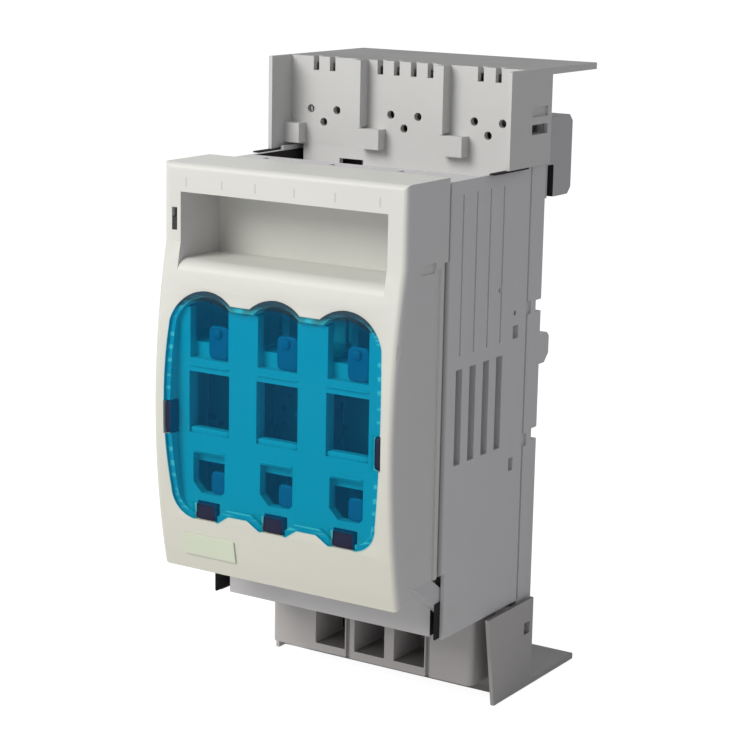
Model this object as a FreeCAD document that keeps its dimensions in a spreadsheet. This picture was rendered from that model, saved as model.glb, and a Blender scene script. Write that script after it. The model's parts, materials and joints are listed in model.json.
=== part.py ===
"""Three-pole fuse switch disconnector that hooks onto three flat busbars, in millimetres.

X runs across the poles, Y back towards the busbars and Z up. The origin is the middle of the
rear face that rests on the middle busbar.
"""
import FreeCAD, Part
import math
import os
from types import SimpleNamespace

import Sketcher

os.makedirs("parts", exist_ok=True)
doc = FreeCAD.newDocument("fuse_switch")
V = FreeCAD.Vector

# Driving dimensions
SIZES = dict(
    # busbars and clearances
    bar_pitch=60, bar_height=12, bar_thickness=5, bar_play=0.2,
    gap=0.3, fit_play=0.05, screw_play=0.02, overcut=1,
    # overall
    body_width=122, cover_width=124.6, shroud_side=3, front_depth=122.5, pole_pitch=36,
    base_top=67, base_bottom=-135, adapter_depth=16, back_inset=2,
    # cover
    cover_top=69.5, cover_height=181.3, side_lift=7.3, chin_run=6, jog_height=34,
    bulge=8, bulge_top=35, cover_wall=2.5, cover_edge=3, seam_depth=89, rim_step=3,
    inset_depth=0.8, inset_top=32, inset_front=9, inset_rim=2.5,
    side_mark_front=109, side_mark_width=10.5, side_mark_foot=30.4, side_mark_height=4.6, side_mark_depth=1.3,
    recess_side=9.3, recess_top=57, recess_floor=27.8, recess_over=3.4, recess_wall=1.6,
    lip_drop=6, lip_run=4, lip_wall=3,
    window_width=112, window_low_width=106.4, window_side_arc=330, window_shoulder=1.5,
    window_top=15.5, window_bottom=-87, bulge_radius=19.3, valley_drop=5,
    foot_flat=7, foot_slope=13, foot_rise=4, window_corner=12.5,
    window_thickness=1.8, window_proud=0.5, window_seat=2.5, window_room=6.2,
    finger_width=0.5, finger_top=-34.5, finger_bottom=-49.5, finger_depth=3.5,
    foot_notch_width=12, foot_notch_top=-79,
    view_width=20.5, view_foot=-15, view_cap_width=24, view_cap_foot=7.4, view_cap_arc=16,
    view_mid_width=21.5, view_mid_top=-21, view_mid_foot=-48.6,
    view_low_width=17, view_low_top=-57.5, view_low_foot=-75.5, view_low_corner=4.5, view_low_trim=2,
    plate_width=28, plate_height=10, plate_left=-49, plate_top=-94.5, plate_thickness=0.7,
    # lock slide
    lock_inset=6, lock_width=2.8, lock_top=50, lock_length=10, lock_travel=4,
    lock_plate_inset=5.1, lock_plate_width=4.4, lock_plate_sheet=1.5, lock_plate_more=3,
    # hinge
    chin_step=8.7, hinge_back=9.5, hinge_height=-124, pin_radius=2, pin_length=8.5,
    arm_width=4.2, arm_outer=58.9, arm_eye=4.6, arm_side=3.8, arm_foot=2.6,
    arm_root=10, arm_root_inset=2, arm_heel=3.4,
    arm_play=0.4, pocket_skin=1.7, pocket_room=8,
    # base
    well_width=32.5, well_floor=50, floor_wall=4, well_top=50, well_bottom=-100,
    cavity_top=54, cavity_bottom=-128,
    shadow_width=3, shadow_depth=1.8, pit_front=60, pit_floor=58, pit_wall=2, lap_height=2, lap_front=36,
    arc_vent_front=84, arc_vent_depth=4.5, arc_vent_pitch=7.5, arc_vent_width=24,
    vent_width=5.5, vent_pitch=11.8, vent_first=75, vent_top=-15, vent_foot=-57.5, vent_wall=9,
    line_width=1.2, line_depth=0.6, line_foot=-9, line_top=61,
    notch_depth=3, upper_notch_y=-25.4, upper_notch_z=-6.2, upper_notch_width=5, upper_notch_height=6,
    lower_notch_y=-26, lower_notch_z=-67.3, lower_notch_width=4, lower_notch_height=6,
    dimple_radius=1.2, front_dimple_y=-41, front_dimple_z=15, rear_dimple_y=-26.5, rear_dimple_z=2.6,
    # shrouds
    wall_thickness=2, face_wall=3, shelf_wall=3, terminal_room=12.5, lower_reach=44,
    wing_front=41.5, wing_back=4, face_depth=25.5, shelf_back=39, foot_gap=0.8,
    guard_top=47, guard_foot=39.5, left_wing_front=31,
    section_pitch=43.8, fin_width=4.2, fin_depth=6.5, fin_foot=80.3,
    boss_run=12, boss_depth=6, boss_foot=70.3, boss_top=79.5,
    apron_left=55, apron_notch_left=34.7, apron_notch_width=13, apron_notch_height=6,
    probe_radius=1.9, probe_spread=7.2, probe_high=86.2, probe_low=80.4,
    knockout_width=3, knockout_height=6.5, knockout_inner=4.5, knockout_outer=13.3,
    latch_front=22, latch_back=7.5, latch_foot=81.8, latch_height=4.4, mark_foot=89.6, latch_depth=1.2,
    row_width=111, row_front=46.5, row_bottom=-169.5, row_top=-138, row_edge=3,
    row_groove=2, row_groove_left=12, row_groove_right=32,
    outlet_pitch=21.9, outlet_width=16.5, outlet_foot=-165.5, outlet_top=-142,
    eye_y=-9.7, eye_z=-149.6, eye_width=5.5, eye_height=5.5,
    # rear adapter, hooks and lugs
    adapter_wall=3, adapter_rim=2.5, pad_inset=11, pad_height=11, contact_play=0.2,
    hook_width=10, hook_back=23, hook_bottom=51.4, hook_top=88, hook_chamfer=3, hook_lead=1.5,
    lug_top=-11, lug_height=14, lug_back=7, lug_chamfer=4, lug_round=2,
    edge_notch_height=5.4, edge_notch_depth=5, edge_notch_rise=2.9,
    seam_line=1.5, seam_box_y=-14.5, seam_box_width=6, seam_box_high=3, seam_box_low=-58.5, seam_box_height=6,
    # fuse links and holders
    fuse_height=-35.2, fuse_length=78.5, fuse_body_length=49, fuse_body_width=29,
    fuse_body_front=108, fuse_body_back=66, fuse_body_edge=4,
    end_plate=2.5, end_inset=1, blade_thickness=6, blade_front=76, blade_back=61, blade_edge=1.5,
    lug_neck=8, lug_head=18, lug_front=116.5, lug_head_depth=3,
    holder_rail_x=12.6, holder_rail=2.2, holder_depth=3, holder_width=27.4, holder_block=7,
    holder_reach=10, holder_more=7, holder_play=0.5,
    # jaws and springs
    jaw_sheet=1.6, jaw_foot=2, jaw_height=14, jaw_start=1.2, jaw_front=77, jaw_flare=2.2, jaw_flare_run=3,
    jaw_leaf_play=0.3, spring_sheet=0.8, spring_front=59.5, spring_back=54.5, spring_play=0.1,
    jaw_screw_radius=2, jaw_screw_head=2.9, jaw_head_height=2,
    # conductors
    strip_sheet=3, strip_width=14, bus_strip_depth=9, bus_leg=-63,
    contact_width=22, contact_height=10,
    terminal_depth=15, terminal_width=20, terminal_height=88, terminal_over=10, terminal_under=14,
    terminal_leg=47, post_inset=1,
    terminal_screw_radius=4, terminal_head=6.5, terminal_head_height=4, terminal_screw_end=7,
    post_bore_more=0.5, clamp_sheet=2.5, clamp_height=14, clamp_width=18,
    # arc chutes
    chute_sheet=1.2, chute_pitch=4.6, chute_first=15, chute_front=82, chute_back=54,
    chute_notch=9, chute_notch_run=14, cheek_sheet=1.2, cheek_more=2,
    # fasteners and locking slide
    housing_screw_radius=2, housing_head=3.6, housing_head_height=1.7, housing_screw_x=56,
    housing_screw_high=42, housing_screw_low=-122, housing_screw_length=14, screw_post=4.4,
    slide_width=64, slide_sheet=2.5, slide_top=-67, slide_foot=-92, slide_travel=5, slide_hold=4,
    rivet_x=18, rivet_z=-80, rivet_radius=2, rivet_head=4, rivet_head_height=1.4, rivet_post=5,
    rivet_length=10,
)
POLES = (-1, 0, 1)
BARS = (1, 0, -1)
SIDES = (("left", -1), ("right", 1))
ENDS = (("upper", 1), ("lower", -1))
ARC_VENTS, SIDE_VENTS, CHUTE_PLATES = 3, 4, 7

sheet = doc.addObject("Spreadsheet::Sheet", "dims")
for row, (alias, number) in enumerate(SIZES.items(), start=1):
    sheet.set(f"A{row}", alias)
    sheet.set(f"B{row}", str(number))
    sheet.setAlias(f"B{row}", alias)
doc.recompute()


class Size:
    """A length that knows its number and the spreadsheet expression it comes from."""

    def __init__(self, number, text):
        self.number = float(number)
        self.text = text

    @staticmethod
    def of(value):
        return value if isinstance(value, Size) else Size(value, repr(value))

    def __add__(self, other):
        other = Size.of(other)
        return Size(self.number + other.number, f"({self.text} + {other.text})")

    def __sub__(self, other):
        other = Size.of(other)
        return Size(self.number - other.number, f"({self.text} - {other.text})")

    def __mul__(self, other):
        other = Size.of(other)
        return Size(self.number * other.number, f"({self.text} * {other.text})")

    def __truediv__(self, other):
        other = Size.of(other)
        return Size(self.number / other.number, f"({self.text} / {other.text})")

    def __radd__(self, other):
        return Size.of(other) + self

    def __rsub__(self, other):
        return Size.of(other) - self

    def __rmul__(self, other):
        return Size.of(other) * self

    def __neg__(self):
        return Size(0, "0") - self

    def root(self):
        return Size(math.sqrt(self.number), f"sqrt({self.text})")


d = SimpleNamespace(**{alias: Size(number, f"dims.{alias}") for alias, number in SIZES.items()})
PARTS = []


def bind(thing, prop, size):
    """Sets a property through its spreadsheet expression."""
    thing.setExpression(prop, Size.of(size).text)


def place(thing, x, y, z):
    for axis, size in zip("xyz", (x, y, z)):
        bind(thing, f"Placement.Base.{axis}", size)


def block(name, x, y, z):
    """A box between two sizes along each axis."""
    thing = doc.addObject("Part::Box", name)
    for prop, (low, high) in zip(("Length", "Width", "Height"), (x, y, z)):
        bind(thing, prop, Size.of(high) - low)
    place(thing, x[0], y[0], z[0])
    return thing


TURNS = {"X": FreeCAD.Rotation(V(0, 1, 0), 90), "Y": FreeCAD.Rotation(V(1, 0, 0), -90),
         "Z": FreeCAD.Rotation()}


def rod(name, axis, centre, radius, low, high):
    """A cylinder along an axis; centre holds the two other coordinates in their X, Y, Z order."""
    thing = doc.addObject("Part::Cylinder", name)
    thing.Placement = FreeCAD.Placement(V(), TURNS[axis])
    bind(thing, "Radius", radius)
    bind(thing, "Height", Size.of(high) - low)
    start = list(centre)
    start.insert("XYZ".index(axis), low)
    place(thing, *start)
    return thing


# lengths closer than this count as equal when the edges to be rounded are picked
SAME = 0.01
PLANES = {"X": "YZ_Plane", "Y": "XZ_Plane", "Z": "XY_Plane"}


def arc_or_line(start, end, bend):
    """Sketch geometry from start to end: straight, or bent to its right (above zero) or left."""
    if bend is None:
        return Part.LineSegment(start, end)
    half = (end - start) / 2
    side = V(half.y, -half.x, 0).normalize() * math.copysign(1, bend)
    sag = abs(bend) - math.sqrt(bend * bend - half.Length ** 2)
    return Part.Arc(start, start + half + side * sag, end)


def profile(name, axis, points, low, high):
    """Pads an outline along an axis. A point is (u, v), or (u, v, bend) where the side that
    ends there is an arc of that radius, on its right above zero and on its left below zero."""
    body = doc.addObject("PartDesign::Body", name)
    plane = [f for f in body.Origin.OriginFeatures if f.Role == PLANES[axis]][0]
    sketch = body.newObject("Sketcher::SketchObject", name + "_sketch")
    sketch.AttachmentSupport = (plane, "")
    sketch.MapMode = "FlatFace"
    points = [tuple(Size.of(c) for c in p) for p in points]
    bends = [p[2].number if len(p) == 3 else None for p in points]
    ends = [V(p[0].number, p[1].number, 0) for p in points]
    sketch.addGeometry([arc_or_line(ends[i - 1], ends[i], bends[i]) for i in range(len(points))], False)
    # a left-hand arc is stored from its end to its start
    finish = [1 if bend is not None and bend < 0 else 2 for bend in bends]
    for i, point in enumerate(points):
        sizes = [("DistanceX", point[0]), ("DistanceY", point[1])]
        for kind, size in sizes:
            where = sketch.addConstraint(Sketcher.Constraint(kind, -1, 1, i, finish[i], size.number))
            sketch.setExpression(f"Constraints[{where}]", size.text)
        after = (i + 1) % len(points)
        sketch.addConstraint(Sketcher.Constraint("Coincident", i, finish[i], after, 3 - finish[after]))
        if bends[i] is not None:
            radius = point[2] if bends[i] > 0 else -point[2]
            where = sketch.addConstraint(Sketcher.Constraint("Radius", i, radius.number))
            sketch.setExpression(f"Constraints[{where}]", radius.text)
    pad = body.newObject("PartDesign::Pad", name + "_pad")
    pad.Profile = sketch
    bind(pad, "Length", Size.of(high) - low)
    bind(sketch, "AttachmentOffset.Base.z", -Size.of(high) if axis == "Y" else low)
    return body


def join(name, *things):
    if len(things) == 1:
        return things[0]
    thing = doc.addObject("Part::MultiFuse", name)
    thing.Shapes = list(things)
    thing.Refine = True
    return thing


def cut(name, base, *tools):
    """The base with every tool taken out of it."""
    thing = doc.addObject("Part::Cut", name)
    thing.Base = base
    thing.Tool = join(name + "_tools", *tools)
    thing.Refine = True
    return thing


def common(name, first, second):
    thing = doc.addObject("Part::Common", name)
    thing.Base = first
    thing.Tool = second
    thing.Refine = True
    return thing


def group(name, *things):
    """Like pieces kept together as one sub-part."""
    thing = doc.addObject("Part::Compound", name)
    thing.Links = list(things)
    return thing


def rounded(name, base, radius, wanted):
    """Rounds the edges picked by a test on each edge's box and the whole box."""
    doc.recompute()
    thing = doc.addObject("Part::Fillet", name)
    thing.Base = base
    whole = base.Shape.BoundBox
    picked = [i for i, e in enumerate(base.Shape.Edges, start=1) if wanted(e.BoundBox, whole)]
    thing.Edges = [(i, radius.number, radius.number) for i in picked]
    return thing


def keep(label, thing):
    """Names a finished sub-part."""
    thing.Label = label
    PARTS.append(thing)


def both(half):
    return (-half, half)


def around(centre, width):
    centre = Size.of(centre)
    return (centre - width / 2, centre + width / 2)


def beside(sign, inner, outer):
    """A stretch of X between two distances from the middle, on the side of the sign."""
    return (inner, outer) if sign > 0 else (-outer, -inner)


def onward(start, length, sign):
    """A stretch that starts at a size and runs up or down by a length."""
    return (start, start + length) if sign > 0 else (start - length, start)


# Levels that several pieces share
half_body = d.body_width / 2
half_cover = d.cover_width / 2
half_shroud = half_body + d.shroud_side
front = -d.front_depth
back = -d.back_inset
cover_bottom = d.cover_top - d.cover_height
side_bottom = cover_bottom + d.side_lift
bulge_half = (d.bulge_top - cover_bottom) / 2
bulge_middle = (d.bulge_top + cover_bottom) / 2
bulge_arc = (bulge_half * bulge_half + d.bulge * d.bulge) / (d.bulge * 2)
rim_depth = d.seam_depth + d.rim_step
base_front = d.gap - d.seam_depth
base_front_low = d.gap - rim_depth
chin_front = base_front_low + d.chin_step
chin_top = side_bottom - d.gap
hinge_y = chin_front + d.hinge_back
recess_half = half_cover - d.recess_side
recess_depth = d.front_depth - d.seam_depth - d.recess_over - d.recess_wall
lock_x = d.lock_inset - half_cover
lock_plate_x = d.lock_plate_inset - half_cover
terminal_top = d.terminal_height + d.terminal_over
face_foot = d.base_top + d.lap_height + d.gap
plate_back = front + d.cover_wall
shroud_top = terminal_top + d.terminal_room
shroud_bottom = d.base_bottom - d.lower_reach
adapter_high = shroud_top - d.shelf_wall - d.gap
adapter_low = shroud_bottom + d.shelf_wall + d.gap
well_face = -d.well_floor
floor_back = d.floor_wall - d.well_floor
fuse_half = d.fuse_body_length / 2
blade_length = (d.fuse_length - d.fuse_body_length) / 2
jaw_inner = d.blade_thickness / 2 + d.jaw_leaf_play
jaw_outer = jaw_inner + d.jaw_sheet
slot_depth = d.bar_thickness + d.bar_play


def jaw_levels(up):
    """Height range of the upper or lower jaws."""
    return onward(d.fuse_height + (fuse_half + d.jaw_start) * up, d.jaw_height, up)


def jaw_middle(up):
    low, high = jaw_levels(up)
    return (low + high) / 2


def bulge_depth(z):
    """How far the cover's bulge stands in front of its flat front at a height."""
    off = Size.of(z) - bulge_middle
    return (bulge_arc * bulge_arc - off * off).root() - bulge_arc + d.bulge


def base_housing():
    """Moulded base: three wells in front for the jaws, three cavities behind for the conductors."""
    core = block("base_core", both(half_body), (base_front, -d.adapter_depth), (d.base_bottom, d.base_top))
    rim = block("base_rim", both(half_body - d.shadow_depth), (base_front_low, base_front),
                (chin_top, d.jog_height - d.gap))
    pit_back = -d.adapter_depth - d.pit_wall
    ribs = [block(f"lap_rib_{side}", beside(sign, half_body - d.pit_wall, half_body - d.gap),
                  (-d.lap_front, -d.adapter_depth), (d.pit_floor, face_foot - d.gap)) for side, sign in SIDES]
    tools = [block("chin_room", both(half_body + d.overcut), (base_front_low - d.overcut, chin_front),
                   (d.base_bottom - d.overcut, chin_top)),
             block("terminal_pit", both(half_body - d.pit_wall), (-d.pit_front, pit_back),
                   (d.pit_floor, d.base_top + d.overcut))]
    tools += [block(f"shadow_gap_{side}", beside(sign, half_body - d.shadow_depth, half_body + d.overcut),
                    onward(base_front - d.overcut, d.overcut + d.shadow_width, 1),
                    (d.jog_height - d.gap, d.base_top + d.overcut)) for side, sign in SIDES]
    for k in POLES:
        tools += pole_rooms(k)
    for side, sign in SIDES:
        tools += side_vents(side, sign) + side_dimples(side, sign) + hinge_rooms(side, sign)
        for name, z in (("high", d.housing_screw_high), ("low", d.housing_screw_low)):
            tools.append(rod(f"base_screw_hole_{side}_{name}", "Y", (d.housing_screw_x * sign, z),
                             d.housing_screw_radius + d.screw_play,
                             -d.adapter_depth - d.housing_screw_length, d.overcut - d.adapter_depth))
    keep("base_housing", cut("base_housing", join("base_body", core, rim, *ribs), *tools))


def pole_rooms(k):
    """Well, rear cavity, top vents and screw holes of one pole."""
    n = k + 2
    x = around(d.pole_pitch * k, d.well_width)
    tools = [block(f"well_{n}", x, (base_front_low - d.overcut, well_face), (d.well_bottom, d.well_top)),
             block(f"cavity_{n}", x, (floor_back, d.overcut - d.adapter_depth),
                   (d.cavity_bottom, d.cavity_top))]
    for slot in range(ARC_VENTS):
        y = onward(d.arc_vent_pitch * slot - d.arc_vent_front, d.arc_vent_depth, 1)
        tools.append(block(f"arc_vent_{n}_{slot + 1}", around(d.pole_pitch * k, d.arc_vent_width), y,
                           (d.well_top - d.overcut, d.base_top + d.overcut)))
    for name, up in ENDS:
        tools.append(rod(f"{name}_floor_hole_{n}", "Y", (d.pole_pitch * k, jaw_middle(up)),
                         d.jaw_screw_radius + d.screw_play, well_face - d.overcut, floor_back + d.overcut))
    return tools


def side_vents(side, sign):
    """Four vent slots through a side wall, each with a thin line above it."""
    tools = []
    for slot in range(SIDE_VENTS):
        y = d.vent_pitch * slot - d.vent_first
        tools.append(block(f"side_vent_{side}_{slot + 1}",
                           beside(sign, half_body - d.vent_wall, half_body + d.overcut),
                           around(y, d.vent_width), (d.vent_foot, d.vent_top)))
        tools.append(block(f"side_line_{side}_{slot + 1}",
                           beside(sign, half_body - d.line_depth, half_body + d.overcut),
                           around(y, d.line_width), (d.line_foot, d.line_top)))
    return tools


def side_dimples(side, sign):
    """Small blind notches and round dimples in a side wall."""
    x = beside(sign, half_body - d.notch_depth, half_body + d.overcut)
    return [block(f"upper_notch_{side}", x, around(d.upper_notch_y, d.upper_notch_width),
                  around(d.upper_notch_z, d.upper_notch_height)),
            block(f"lower_notch_{side}", x, around(d.lower_notch_y, d.lower_notch_width),
                  around(d.lower_notch_z, d.lower_notch_height)),
            rod(f"front_dimple_{side}", "X", (d.front_dimple_y, d.front_dimple_z), d.dimple_radius, *x),
            rod(f"rear_dimple_{side}", "X", (d.rear_dimple_y, d.rear_dimple_z), d.dimple_radius, *x)]


def hinge_rooms(side, sign):
    """Pocket for a hinge arm, open to the front and below, and the bore of its pin."""
    x = beside(sign, d.arm_outer - d.arm_width - d.arm_play, half_body - d.pocket_skin)
    pin = beside(sign, half_body - d.pin_length, half_body + d.overcut)
    return [block(f"hinge_pocket_{side}", x, (base_front_low - d.overcut, hinge_y + d.pocket_room),
                  (d.base_bottom - d.overcut, side_bottom)),
            rod(f"pin_bore_{side}", "X", (hinge_y, d.hinge_height), d.pin_radius + d.screw_play, *pin)]


def hinge_pins():
    """Two pins that the cover turns on."""
    pins = [rod(f"hinge_pin_{side}", "X", (hinge_y, d.hinge_height), d.pin_radius,
                *beside(sign, half_body - d.pin_length, half_body)) for side, sign in SIDES]
    keep("hinge_pins", group("hinge_pins", *pins))


def rear_adapter():
    """Back plate of the switch: it closes the base, stands on the busbars and carries the shrouds."""
    outer = block("adapter_outer", both(half_body), (-d.adapter_depth, back), (adapter_low, adapter_high))
    room = block("adapter_room", both(half_body - d.adapter_rim),
                 (-d.adapter_depth - d.overcut, back - d.adapter_wall),
                 (adapter_low + d.adapter_rim, adapter_high - d.adapter_rim))
    solids, tools = [cut("adapter_shell", outer, room)], []
    for k, bar in zip(POLES, BARS):
        z = d.bar_pitch * bar
        solids.append(block(f"bar_pad_{k + 2}", both(half_body - d.pad_inset), (back, Size.of(0)),
                            around(z, d.pad_height)))
        tools.append(block(f"contact_window_{k + 2}",
                           around(d.pole_pitch * k, d.contact_width + 2 * d.contact_play),
                           (back - d.adapter_wall - d.overcut, d.overcut),
                           around(z, d.contact_height + 2 * d.contact_play)))
        x = d.section_pitch * k
        solids.append(block(f"terminal_post_{k + 2}", around(x, d.terminal_width - 2 * d.post_inset),
                            (d.strip_sheet - d.terminal_depth, back - d.adapter_wall),
                            (d.terminal_height - d.terminal_under, terminal_top)))
        tools.append(rod(f"terminal_bore_{k + 2}", "Y", (x, d.terminal_height),
                         d.terminal_screw_radius + d.post_bore_more, -d.adapter_depth, back - d.overcut))
    for side, sign in SIDES:
        solids += side_lug(side, sign) + adapter_posts(side, sign)
        tools += adapter_holes(side, sign)
    keep("rear_adapter", cut("rear_adapter", join("adapter_whole", *solids), *tools))


def side_lug(side, sign):
    """Chamfered lug behind the adapter, between the middle and the lowest busbar."""
    foot = d.lug_top - d.lug_height
    x = beside(sign, half_body - d.hook_width, half_body)
    return [profile(f"bar_lug_{side}", "X", [
        (back, foot), (d.lug_back - d.lug_chamfer, foot), (d.lug_back, foot + d.lug_chamfer),
        (d.lug_back, d.lug_top - d.lug_round), (d.lug_back - d.lug_round, d.lug_top), (back, d.lug_top)], *x)]


def adapter_posts(side, sign):
    y = (-d.adapter_depth, back)
    posts = [rod(f"screw_post_{side}_{name}", "Y", (d.housing_screw_x * sign, z), d.screw_post, *y)
             for name, z in (("high", d.housing_screw_high), ("low", d.housing_screw_low))]
    return posts + [rod(f"rivet_post_{side}", "Y", (d.rivet_x * sign, d.rivet_z), d.rivet_post, *y)]


def adapter_holes(side, sign):
    """Notches in the rear edge, boxes in the seam and the ways for screws and rivets."""
    end = half_body + d.overcut
    tools = []
    for name, z in (("mid", d.edge_notch_rise), ("low", d.edge_notch_rise - d.bar_pitch)):
        tools.append(block(f"edge_notch_{side}_{name}", beside(sign, half_body - d.notch_depth, end),
                           (back - d.edge_notch_depth, d.overcut), around(z, d.edge_notch_height)))
    tools.append(block(f"seam_line_{side}", beside(sign, half_body - d.latch_depth, end),
                       onward(-d.adapter_depth - d.overcut, d.overcut + d.seam_line, 1),
                       (d.base_bottom, d.base_top)))
    tools.append(block(f"latch_pocket_{side}", beside(sign, half_body - d.notch_depth, end),
                       (-d.adapter_depth - d.overcut, -d.latch_back),
                       onward(d.latch_foot, d.latch_height, 1)))
    for name, z in (("high", d.seam_box_high), ("low", d.seam_box_low)):
        tools.append(block(f"seam_box_{side}_{name}", beside(sign, half_body - d.latch_depth, end),
                           around(d.seam_box_y, d.seam_box_width), around(z, d.seam_box_height)))
    for name, z in (("high", d.housing_screw_high), ("low", d.housing_screw_low)):
        tools.append(rod(f"screw_way_{side}_{name}", "Y", (d.housing_screw_x * sign, z),
                         d.housing_screw_radius + d.screw_play,
                         -d.adapter_depth - d.overcut, back + d.overcut))
    tools.append(rod(f"rivet_way_{side}", "Y", (d.rivet_x * sign, d.rivet_z),
                     d.rivet_radius + d.screw_play, back - d.rivet_length, back + d.overcut))
    return tools


def bar_hooks():
    """Two hooks that hang the switch over the top busbar."""
    slot_top = d.bar_pitch + d.bar_height / 2 + d.bar_play
    for side, sign in SIDES:
        keep(f"bar_hook_{side}", profile(f"bar_hook_{side}", "X", [
            (back, d.hook_bottom), (0, d.hook_bottom), (0, slot_top), (slot_depth, slot_top),
            (slot_depth, d.hook_bottom + d.hook_lead), (slot_depth + d.hook_lead, d.hook_bottom),
            (d.hook_back - d.hook_chamfer, d.hook_bottom), (d.hook_back, d.hook_bottom + d.hook_chamfer),
            (d.hook_back, d.hook_top - d.hook_chamfer), (d.hook_back - d.hook_chamfer, d.hook_top),
            (back, d.hook_top)], *beside(sign, half_body - d.hook_width, half_body)))


def cover_blank():
    """Outside of the cover: the flat handle zone and, below it, the bulged zone."""
    handle_zone = block("handle_zone", both(half_cover), (front, -d.seam_depth), (d.jog_height, d.cover_top))
    handle_zone = rounded("handle_zone_rounded", handle_zone, d.cover_edge, lambda b, w: (
        b.YMax < w.YMin + SAME and (b.ZLength > w.ZLength - SAME or b.ZMin > w.ZMax - SAME)))
    bulged_zone = profile("bulged_zone", "X", [
        (-rim_depth, d.bulge_top), (-rim_depth, side_bottom), (front + d.chin_run, side_bottom),
        (front, cover_bottom), (front, d.bulge_top, -bulge_arc)], *both(half_cover))
    bulged_zone = rounded("bulged_zone_rounded", bulged_zone, d.cover_edge, lambda b, w: (
        b.XLength < SAME and b.ZLength > w.ZLength - SAME and b.YMax < w.YMax - SAME))
    return join("cover_blank", handle_zone, bulged_zone)


def front_cover():
    """Hinged cover: hollow blank with the handle recess, the window's pocket and nine openings."""
    inside = block("cover_inside", both(half_cover - d.cover_wall), (plate_back, d.overcut - d.seam_depth),
                   (side_bottom + d.cover_wall, d.cover_top - d.cover_wall))
    shell = cut("cover_shell", cover_blank(), inside)
    arms = [hinge_arm(side, sign) for side, sign in SIDES]
    tools = window_pockets() + finger_notches("cover")
    for k in POLES:
        tools += view_openings(k)
    tools.append(block("lock_slot", around(lock_x, d.lock_width), (front - d.overcut, plate_back + d.overcut),
                       (d.lock_top - d.lock_length, d.lock_top)))
    for side, sign in SIDES:
        tools.append(block(f"side_inset_{side}",
                           beside(sign, half_cover - d.inset_depth, half_cover + d.overcut),
                           (front + d.inset_front, -rim_depth - d.inset_rim),
                           (cover_bottom - d.overcut, d.inset_top)))
        tools.append(block(f"side_mark_{side}",
                           beside(sign, half_cover - d.side_mark_depth, half_cover + d.overcut),
                           onward(-d.side_mark_front, d.side_mark_width, 1),
                           onward(d.side_mark_foot, d.side_mark_height, 1)))
    whole = join("cover_whole", shell, *recess_walls(), *arms)
    keep("front_cover", cut("front_cover", whole, hand_room(), *tools))


def recess_walls():
    """Tub behind the handle recess and the thicker wall under its rounded lip."""
    x = both(recess_half + d.recess_wall)
    wall_top = d.recess_floor - d.recess_wall
    inside = front + d.cover_wall / 2
    return [block("recess_tub", x, (inside, front + recess_depth + d.recess_wall),
                  (wall_top, d.recess_top + d.recess_wall)),
            block("lip_backing", x, (inside, front + d.lip_run + d.lip_wall),
                  (d.recess_floor - d.lip_drop - d.lip_wall, d.recess_floor))]


def hand_room():
    """Space of the handle recess, with a rounded lip that runs into the cover's bulge."""
    lip_foot = d.recess_floor - d.lip_drop
    lip_front = front - bulge_depth(lip_foot)
    run = front + d.lip_run - lip_front
    lip_arc = (run * run + d.lip_drop * d.lip_drop) / (d.lip_drop * 2)
    ahead = front - 2 * d.bulge
    return profile("hand_room", "X", [
        (ahead, lip_foot), (lip_front, lip_foot), (front + d.lip_run, d.recess_floor, -lip_arc),
        (front + recess_depth, d.recess_floor), (front + recess_depth, d.recess_top),
        (ahead, d.recess_top)], *both(recess_half))


def hinge_arm(side, sign):
    """Arm under the cover with the eye that turns on the hinge pin."""
    x = beside(sign, d.arm_outer - d.arm_width, d.arm_outer)
    y, z = hinge_y, d.hinge_height
    root_z = side_bottom + d.overcut
    root_back = -rim_depth - d.arm_root_inset
    leg = profile(f"arm_leg_{side}", "X", [
        (root_back - d.arm_root, root_z), (root_back, root_z), (y + d.arm_foot, z + d.arm_side),
        (y - d.arm_side, z - d.arm_foot), (root_back - d.arm_root, root_z - d.arm_heel)], *x)
    eye = rod(f"arm_eye_{side}", "X", (y, z), d.arm_eye, *x)
    bore = rod(f"arm_bore_{side}", "X", (y, z), d.pin_radius + d.fit_play, x[0] - d.overcut, x[1] + d.overcut)
    return cut(f"hinge_arm_{side}", join(f"arm_blank_{side}", eye, leg), bore)


def window_outline(name, shrink, low, high):
    """Scalloped window outline: three round bulges on top, three flat ones below, bowed sides."""
    r, corner = d.bulge_radius - shrink, d.window_corner - shrink
    side = d.window_low_width / 2 - shrink
    foot = d.window_bottom + shrink
    valley = d.window_top - d.valley_drop - shrink
    centre = d.window_top - d.bulge_radius
    pitch = d.pole_pitch
    reach = (r * r - (valley - centre) * (valley - centre)).root()
    shoulder = pitch + (r * r - (d.window_shoulder - centre) * (d.window_shoulder - centre)).root()
    flat, slope = d.foot_flat - shrink / 2, d.foot_slope - shrink / 2
    rise = foot + d.foot_rise
    side_arc = d.window_side_arc - shrink
    right = [(flat, foot), (slope, rise), (pitch - slope, rise), (pitch - flat, foot),
             (side - corner, foot), (side, foot + corner, corner), (shoulder, d.window_shoulder, side_arc),
             (pitch - reach, valley, r), (reach, valley)]
    bends = (r, None, r, side_arc, corner)
    left = [(-right[8 - i][0], right[8 - i][1]) for i in range(9)]
    left = [point if i > 4 or bends[i] is None else point + (bends[i],) for i, point in enumerate(left)]
    return profile(name, "Y", right + left, low, high)


def curved_band(name, outside, inside):
    """A slab across the cover that follows its bulge between two distances from its surface."""
    near, far = front - outside, front + inside
    return profile(name, "X", [
        (far, cover_bottom, bulge_arc), (near, cover_bottom), (near, d.bulge_top, -bulge_arc),
        (far, d.bulge_top)], *both(half_cover))


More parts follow.
